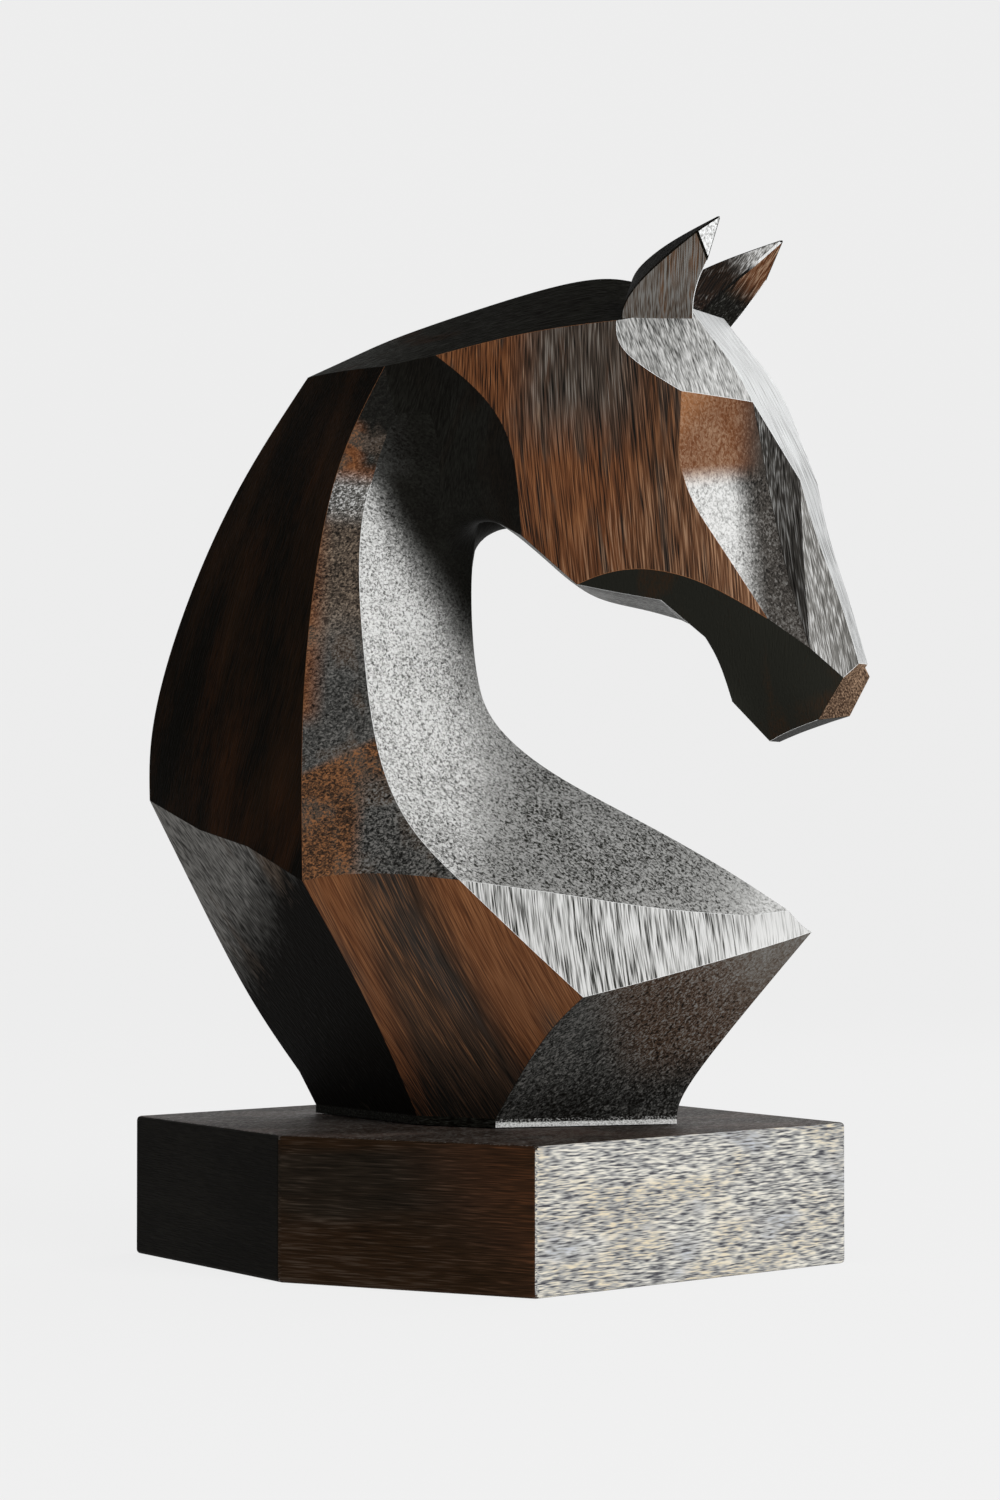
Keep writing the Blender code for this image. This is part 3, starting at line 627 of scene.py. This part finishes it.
def make_finishes():
    """One wood finish for each facet of the bust."""
    # shade holds the near-black tones of painted shade, for parts of facets that turn from the key light or
    # lie in hollows; orange holds the wood's own brown
    shade = {"dark": INK, "body": COAL, "light": ASH}
    orange = {"dark": EBONY, "body": RUST, "light": AMBER}
    return {
        # Near-black: the dark wood with painted shade, as the back faces away from the key light.
        "back": wood("back_wood", INK, UMBER, WALNUT, 0.15, (0.3, 0, 1), 14, contrast=0.15, drift=0.25,
                     tints=(("body", (0.028, 0.010, 0.003, 1), 0.03, 0.5),), **MATT),
        # Brown wood; the zones given the shade tones are painted shade.
        "side": wood("side_wood", INK, WALNUT, AMBER, 0.58, (1, 0.5, 0.25), **PEBBLE, contrast=0.55,
                     tints=(("body", SMOKE, 0.012, 0.5),),
                     zones=(((-32.5, 31, 103.4), (-33.5, 31, 105.8),
                             {"dark": INK, "body": SLATE, "light": ASH, "cover": 0.56}),
                            ((-38, 25, 130), (-38, 25, 156),
                             {"body": SMOKE, "light": (0.26, 0.20, 0.145, 1), "cover": 0.46}),
                            ((-37, 23.5, 140), (-47, 23.5, 140), (-42, 25, 112), (-42, 25, 120),
                             {"body": RUST, "light": AMBER}),
                            ((-38, 22, 171), (-37, 22, 179),
                             {"dark": COAL, "body": ASH, "light": SILVER, "cover": 0.46, "contrast": 0.6}),
                            ((-37, 20.5, 183), (-36, 20, 190), {**orange, "cover": 0.48, "contrast": 0.4}),
                            ((-33, 20, 196), (-27.5, 20, 196), (-30, 20, 186), (-30, 20, 191),
                             {**shade, "cover": 0.32}),
                            ((-32, 18, 199), (-30, 17, 204), {**shade, "cover": 0.15}),
                            ((-27, 34, 94), (-20.5, 34, 94), (-20, 33, 101), (-20, 33, 96),
                             {**shade, "body": SLATE, "cover": 0.5, "contrast": 0.8}))),
        # Silver: painted highlight of the key light on the inner neck; the zones paint its shading: darker on
        # the chest slope and towards the middle line, brighter at the chest tip, and painted shade towards
        # the throat.
        "neck": wood("neck_wood", SLATE, PEWTER, SILVER, 0.73, (1, 0.4, -0.35), **PEBBLE, contrast=0.72,
                     gloss=0.06,
                     zones=(((-14, 10, 130), (-3, 0, 130), {"cover": 0.51, "contrast": 0.46}),
                            ((-12, 34, 100), (6, 30, 84), {"cover": 0.61}),
                            ((2, 20.5, 92), (18, 20.5, 95.5),
                             {"cover": 0.28, "dark": COAL, "light": PEWTER}),
                            ((64, 6, 74), (96, 2, 58), {"cover": 0.88, "light": SILVER}),
                            ((-28, 20, 171.8), (-15.5, 20, 177.2), (0, 0, 118), (0, 0, 145),
                             {**shade, "cover": 0.13, "contrast": 0.2}),
                            ((-13, 19, 198), (-27, 19, 194), (-22, 19, 183), (-22, 19, 190),
                             {"body": SLATE, "cover": 0.30}))),
        # Grey: painted light over the dark wood, lightest at the tip and darker towards the foot.
        "rump": wood("rump_wood", INK, (0.058, 0.056, 0.052, 1), ASH, 0.76, (0.68, 0.18, -0.7), 24, 0.0006,
                     contrast=0.5, curl=0.1, face=(-0.3, 0.9, -0.3), **MATT,
                     tints=(("body", SMOKE, 0.02, 0.52),),
                     zones=(((-84, 17, 69), (-57, 21, 39), {"cover": -0.15, "contrast": 0.15}),
                            ((-98, 9, 78), (-112, 4, 90), {"cover": 0.88}))),
        "shoulder": wood("shoulder_wood", INK, WALNUT, AMBER, 0.45, (0.54, 0, -0.84), **LINED, **SIDEWAYS,
                         contrast=0.34, tints=(("body", (0.036, 0.027, 0.021, 1), 0.022, 0.5),),
                         zones=(((8, 40, 44.6), (18, 40, 50.6), {"body": RUST, "cover": 0.56}),
                                ((-7, 40, 39.5), (-18, 40, 35.5), {"body": RUST, "cover": 0.60}),
                                ((5, 38, 30), (5, 34, 4), {"cover": 0.06}))),
        # Silver: painted highlight, as the chest top faces up to the key light; brightest at the chest tip.
        "chest_top": wood("chest_top_wood", COAL, PEWTER, SILVER, 0.61, (0.42, 0.62, -0.85), 24, 0.00045,
                          contrast=0.85, curl=0.1, face=(0.39, 0.64, 0.66),
                          zones=(((76, 8, 62), (92, 5, 55), {"cover": 0.98, "contrast": 0.5}),)),
        # Dark grey: the wood partly with painted shade, as the chest front faces down; lighter towards the
        # chest tip, darker towards the foot.
        "chest": wood("chest_wood", INK, SLATE, ASH, 0.50, (1, 0, 0.3), **PEBBLE, contrast=0.62,
                      zones=(((44, 30, 26), (60, 22, 32),
                              {"body": (0.062, 0.036, 0.022, 1), "cover": 0.48}),
                             ((74, 14, 34), (92, 4, 46), {"cover": 0.68, "body": SMOKE, "contrast": 0.3}),
                             ((60, 15, 24), (60, 12, 6), {"cover": 0.22, "body": SLATE}))),
        "foot": wood("foot_wood", INK, COAL, SLATE, 0.2, (1, 0, 0), 6, **MATT),
        # Pale line where the bust meets the plinth: painted highlight on the small edge, dark along its top.
        "foot_line": wood("foot_line_wood", SLATE, PEWTER, SILVER, 0.8, (1, 0, 0), 6,
                          zones=(((0, 0, 1.2), (0, 0, 1.6), {"cover": 0.0, "dark": INK}),)),
        # Near-black: the dark wood with painted shade, as the mane's top faces away from the key light;
        # lighter towards the withers.
        "mane": wood("mane_wood", INK, COAL, SLATE, 0.20, (1, 0, 0.1), 12, contrast=0.3,
                     tints=(("body", UMBER, 0.02, 0.5),), **MATT,
                     zones=(((0, 10, 228), (-44, 6, 222), {"cover": 0.62}),)),
        # Silver: painted highlight of the key light on the forehead, brighter towards the front.
        "forehead": wood("forehead_wood", COAL, PEWTER, SILVER, 0.44, (0.4, 0.17, -0.9), 8, contrast=0.48,
                         face=(0.55, 0.75, 0.35),
                         zones=(((64, 21, 222), (84, 14, 212), {"cover": 0.66}),)),
        # Near-white: painted highlight of the key light along the bridge, less of it towards the nose.
        "bridge": wood("bridge_wood", SLATE, FROST, RIME, 0.72, (0.42, 0, -0.9), **LINED, contrast=0.5,
                       face=(0.9, 0, 0.42), zones=(((90, 0, 200), (106, 0, 160), {"cover": 0.46}),)),
        # Near-black: painted shade under the head, over the dark wood.
        "throat": wood("throat_wood", INK, COAL, ASH, 0.13, (0.25, 0, 1), 8, contrast=0.2,
                       tints=(("body", (0.012, 0.008, 0.005, 1), 0.02, 0.5),), gloss=0.06),
        "cheek": wood("cheek_wood", INK, RUST, AMBER, 0.43, (-0.1, 0, 1), **LINED, **SIDEWAYS, contrast=0.5,
                      drift=0.1,
                      tints=(("body", (0.066, 0.038, 0.024, 1), 0.005, 0.52), ("light", TAN, 0.004, 0.6)),
                      zones=(((14, 23, 206), (30, 23, 206), (40, 23, 186), (40, 23, 208),
                              {"body": (0.066, 0.048, 0.036, 1), "light": (0.22, 0.20, 0.175, 1),
                               "cover": 0.43}),
                             ((50, 23, 206), (64, 23, 206),
                              {"body": (0.10, 0.040, 0.016, 1), "light": AMBER, "cover": 0.38}),
                             ((44, 24, 178), (54, 24, 168),
                              {"light": (0.32, 0.18, 0.10, 1), "cover": 0.50}))),
        # Near-black: the dark wood with painted shade, as the lower head faces down.
        "jaw": wood("jaw_wood", COAL, COAL, UMBER, 0.3, (0.05, 0, 1), 12, contrast=0.3,
                    tints=(("body", (0.024, 0.015, 0.009, 1), 0.014, 0.54),), **MATT),
        # Silver: painted highlight on the lower socket, which faces up to the key light; the upper socket
        # keeps the wood's brown, and the dark zones by the nose line and in the band at its front are painted
        # shade.
        "socket": wood("socket_wood", SLATE, PEWTER, SILVER, 0.84, (0.2, 0.3, 1), **PEBBLE,
                       zones=(((88, 12.5, 160), (96, 7.9, 163.5),
                               {"cover": 0.36, "dark": INK, "body": SLATE, "light": ASH}),
                              ((84, 16, 179.5), (83, 16, 187),
                               {**orange, "light": TAN, "cover": 0.62, "contrast": 0.18}),
                              ((74, 20, 192), (66, 23, 199), (0, 0, 185), (0, 0, 192),
                               {"body": AMBER}),
                              ((82, 15, 190), (91, 8.5, 190),
                               {"dark": INK, "body": (0.046, 0.040, 0.034, 1), "light": ASH,
                                "cover": 0.42}))),
        # Grey: painted light, dimmer than on the bridge, as the wall turns from the key light.
        "hollow_wall": wood("hollow_wall_wood", INK, (0.050, 0.046, 0.041, 1), PEWTER, 0.42, (0.12, 0, -1),
                            **LINED, face=(0.5, 0.85, 0), contrast=0.5),
        # Pale grey: painted highlight of the key light, a little dimmer than on the bridge.
        "nose_side": wood("nose_side_wood", COAL, ASH, SILVER, 0.51, (0.19, 0, -0.98), **LINED,
                          face=(0.69, 0.69, 0.23), contrast=0.38),
        "nose_tip": wood("nose_tip_wood", EBONY, WALNUT, TAN, 0.64, (0.6, 0, -1), 3, contrast=0.28),
        # Grey: painted light on the strip under the jaw, with painted shade towards the muzzle.
        "jaw_under": wood("jaw_under_wood", COAL, SLATE, PEWTER, 0.66, (1, 0, -0.4), 4, contrast=0.2,
                          zones=(((74, 10, 140), (80, 10, 132), {**shade, "cover": 0.3}),)),
        # Near-black: the dark wood with painted shade, as the ear's back faces away from the key light.
        "ear_back": wood("ear_back_wood", INK, INK, COAL, 0.3, (0.5, 0, 1), 8, **MATT),
        # Silver: painted highlight of the key light, with painted shade lower down.
        "ear_inner": wood("ear_inner_wood", COAL, ASH, SILVER, 0.6, (0.6, 0.3, 1), **LINED,
                          zones=(((76, 21, 250), (69, 18, 244), {**shade, "body": UMBER, "cover": 0.3}),)),
        # The wood's brown, with painted shade deeper down in the cup.
        "ear_cup": wood("ear_cup_wood", EBONY, RUST, TAN, 0.56, (0.6, 0.3, 1), **LINED,
                        zones=(((78, 22, 244), (71, 18, 235), {**shade, "cover": 0.2}),)),
        "ear_outer": wood("ear_outer_wood", EBONY, SMOKE, ASH, 0.68, (0.22, 0.47, 0.85), **LINED,
                          face=(0.25, 0.75, -0.55), contrast=0.6,
                          tints=(("body", (0.10, 0.052, 0.026, 1), 0.006, 0.52),)),
        # Near-white: painted highlight of the key light on the tip facet.
        "ear_tip": wood("ear_tip_wood", SLATE, PEWTER, CHALK, 0.84, (0.4, 0, 1), 2),
        # Rounded edges: the first three paint a highlight along the edge, the ear's one with painted shade
        # towards the cup's foot; the dark one is the plain dark wood.
        "edge_light": wood("edge_light_wood", SLATE, SILVER, CHALK, 0.9, (0.4, 0, 1), 3, contrast=0.3),
        "edge_warm": wood("edge_warm_wood", EBONY, RUST, AMBER, 0.8, (0.4, 0, 1), 3, contrast=0.3),
        "edge_ear": wood("edge_ear_wood", SLATE, SILVER, CHALK, 0.9, (0.4, 0, 1), 3, contrast=0.3,
                         zones=(((79, 23, 247.5), (76, 21, 243.5),
                                 {"dark": INK, "body": INK, "light": COAL, "cover": 0.2}),)),
        "edge_dark": wood("edge_dark_wood", INK, EBONY, SLATE, 0.3, (0.4, 0, 1), 3, **MATT),
    }


# Finish of the rounded edges by the two facets that they part, each a painted highlight along
# the edge, warm beside brown facets; other edges are dark
EDGE_FINISHES = {
    "edge_light": ("neck side", "chest_top neck", "chest chest_top", "chest_top shoulder",
                   "bridge forehead", "bridge nose_side", "bridge nose_tip", "nose_side nose_tip",
                   "jaw jaw_under", "ear_cup ear_outer", "bridge bridge", "neck neck",
                   "cheek forehead", "bridge hollow_wall", "forehead socket", "jaw_under jaw_under"),
    "edge_warm": ("nose_tip nose_tip", "back side", "cheek socket", "cheek jaw", "cheek mane",
                  "shoulder side"),
    "edge_ear": ("ear_cup ear_inner",),
}


def make_plinth_finishes():
    """Wood finishes of the plinth: top, tail faces, side faces and the long faces, whose pale cream is a
    painted highlight of the key light.
    """
    return {
        "plinth_top": wood("plinth_top_wood", INK, UMBER, ASH, 0.46, (0.3, 1, 0), 4, contrast=0.5,
                           tints=(("body", (0.060, 0.036, 0.026, 1), 0.03, 0.46),), mirror=False),
        # Near-black: the dark wood with painted shade, as the tail faces turn away from the key light.
        "plinth_tail": wood("plinth_tail_wood", INK, EBONY, SLATE, 0.14, (0.82, -0.57, 0), 16,
                            contrast=0.2, drift=0.15, mirror=False, **MATT),
        "plinth_side": wood("plinth_side_wood", INK, (0.017, 0.012, 0.008, 1), SMOKE, 0.49,
                            (1, -0.09, 0), 22, contrast=0.25,
                            tints=(("body", (0.022, 0.011, 0.005, 1), 0.03, 0.46),),
                            zones=(((16, -90, -24), (58, -90, -4),
                                    {"body": (0.046, 0.019, 0.009, 1), "light": RUST, "cover": 0.52}),),
                            mirror=False, **MATT),
        # Cream: painted highlight of the key light on the long faces, with yellow and grey-blue tints.
        "plinth_long": wood("plinth_long_wood", (0.06, 0.06, 0.07, 1), PEWTER, CREAM, 0.55, (0.33, 0.95, 0),
                            10, 0.00045, contrast=0.72, curl=0.15,
                            tints=(("light", STRAW, 0.017, 0.49), ("light", MIST, 0.014, 0.55)),
                            mirror=False),
    }


def heading(turn):
    """Direction seen from above, from its angle in degrees."""
    return Vector((math.cos(math.radians(turn)), math.sin(math.radians(turn))))


def plinth_outline():
    """Corners of the six-sided plinth seen from above, opposite faces parallel."""
    half = [Vector((0, 0))]
    for length, turn in PLINTH_FACES.values():
        half.append(half[-1] + length * heading(turn))
    centre = half[-1] / 2 - Vector((FIGURE_MIDDLE, 0))
    near = [corner - centre for corner in half[:-1]]
    return near + [2 * Vector((FIGURE_MIDDLE, 0)) - corner for corner in near]


def carry_over_edges(bm, slot):
    """Let the finish of this slot run out over the narrow strips of the rounded edges next to it."""
    narrow = 2 * PLINTH_EDGE * max(length for length, _ in PLINTH_FACES.values())
    for _ in range(PLINTH_EDGE_SEGMENTS - 1):
        finished = [face for face in bm.faces if face.material_index == slot]
        for edge in [edge for face in finished for edge in face.edges]:
            for face in edge.link_faces:
                if face.calc_area() < narrow:
                    face.material_index = slot


def make_plinth(finishes):
    """The plinth with crisp, slightly worn edges and one finish for each pair of faces."""
    slots = list(finishes)
    bm = bmesh.new()
    outline = plinth_outline()
    bottom = bm.faces.new([bm.verts.new((*corner, 0)) for corner in outline])
    block = bmesh.ops.extrude_face_region(bm, geom=[bottom])
    top = [item for item in block["geom"] if isinstance(item, bmesh.types.BMVert)]
    bmesh.ops.translate(bm, verts=top, vec=(0, 0, PLINTH_HEIGHT))
    bmesh.ops.recalc_face_normals(bm, faces=bm.faces)
    for face in bm.faces:
        if abs(face.normal.z) < 0.5:
            run_of_face = Vector((-face.normal.y, face.normal.x))
            likeness = {name: abs(run_of_face.dot(heading(turn))) for name, (_, turn) in PLINTH_FACES.items()}
            face.material_index = slots.index(max(likeness, key=likeness.get))
    bmesh.ops.bevel(bm, geom=bm.edges[:], offset=PLINTH_EDGE, segments=PLINTH_EDGE_SEGMENTS,
                    profile=0.5, affect="EDGES")
    for face in bm.faces:
        face.smooth = True
    for name in PLINTH_FACES:
        carry_over_edges(bm, slots.index(name))
    mesh = bpy.data.meshes.new("plinth_skin")
    bm.to_mesh(mesh)
    bm.free()
    for material in finishes.values():
        mesh.materials.append(material)
    obj = bpy.data.objects.new("plinth_skin", mesh)
    bpy.context.scene.collection.objects.link(obj)
    shade = obj.modifiers.new("shade", "WEIGHTED_NORMAL")
    shade.weight = 60
    return obj


# The studio

def aim(obj, target):
    """Turn a light to shine at a place."""
    obj.rotation_euler = (Vector(target) - obj.location).to_track_quat("-Z", "Y").to_euler()


def softbox(name, place, width, power):
    """Square soft light."""
    data = bpy.data.lights.new(name, "AREA")
    data.shape = "SQUARE"
    data.size = width
    data.energy = power
    light = bpy.data.objects.new(name, data)
    light.location = place
    bpy.context.scene.collection.objects.link(light)
    aim(light, LIGHTS_TARGET)


def make_stage():
    """Pale floor that curves up behind the bust."""
    bm = bmesh.new()
    flat_end = FLOOR_BACK - FLOOR_CURVE
    profile = [(FLOOR_FRONT, 0.0), (flat_end, 0.0)]
    for step in range(1, FLOOR_CURVE_STEPS + 1):
        turn = math.radians(90 * step / FLOOR_CURVE_STEPS)
        profile.append((flat_end + FLOOR_CURVE * math.sin(turn), FLOOR_CURVE * (1 - math.cos(turn))))
    profile.append((FLOOR_BACK, FLOOR_TOP))
    sides = (-FLOOR_HALF_WIDTH, FLOOR_HALF_WIDTH)
    rows = [[bm.verts.new((x, y, z)) for y, z in profile] for x in sides]
    for i in range(len(profile) - 1):
        bm.faces.new((rows[0][i], rows[1][i], rows[1][i + 1], rows[0][i + 1])).smooth = True
    mesh = bpy.data.meshes.new("studio_floor")
    bm.to_mesh(mesh)
    bm.free()
    floor = bpy.data.objects.new("studio_floor", mesh)
    floor.rotation_euler.z = math.radians(CAMERA_TURN)
    bpy.context.scene.collection.objects.link(floor)
    material = bpy.data.materials.new("studio_paper")
    material.use_nodes = True
    shader = material.node_tree.nodes["Principled BSDF"]
    shader.inputs["Base Color"].default_value = (0.06, 0.06, 0.06, 1)
    shader.inputs["Roughness"].default_value = 1.0
    shader.inputs["Specular IOR Level"].default_value = 0.0
    shader.inputs["Emission Color"].default_value = PAPER
    shader.inputs["Emission Strength"].default_value = 0.95
    mesh.materials.append(material)


def make_studio():
    """Camera, lights and floor."""
    scene = bpy.context.scene
    data = bpy.data.cameras.new("camera")
    data.lens = CAMERA_LENS
    data.sensor_width = 36
    data.sensor_fit = "AUTO"
    camera = bpy.data.objects.new("camera", data)
    camera.location = CAMERA_PLACE
    camera.rotation_euler = (math.radians(90 + CAMERA_RISE), 0, math.radians(CAMERA_TURN))
    scene.collection.objects.link(camera)
    scene.camera = camera
    make_stage()
    for name, (place, width, power) in LIGHTS.items():
        softbox(name, place, width, power)
    world = bpy.data.worlds.new("studio")
    world.use_nodes = True
    world.node_tree.nodes["Background"].inputs["Color"].default_value = PAPER
    world.node_tree.nodes["Background"].inputs["Strength"].default_value = 0.25
    scene.world = world
    scene.view_settings.view_transform = "Standard"


make_studio()
bust = make_figure(make_finishes())
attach(bust, "root")
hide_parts("horse_bust")
plinth = make_plinth(make_plinth_finishes())
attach(plinth, "root")
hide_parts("plinth")
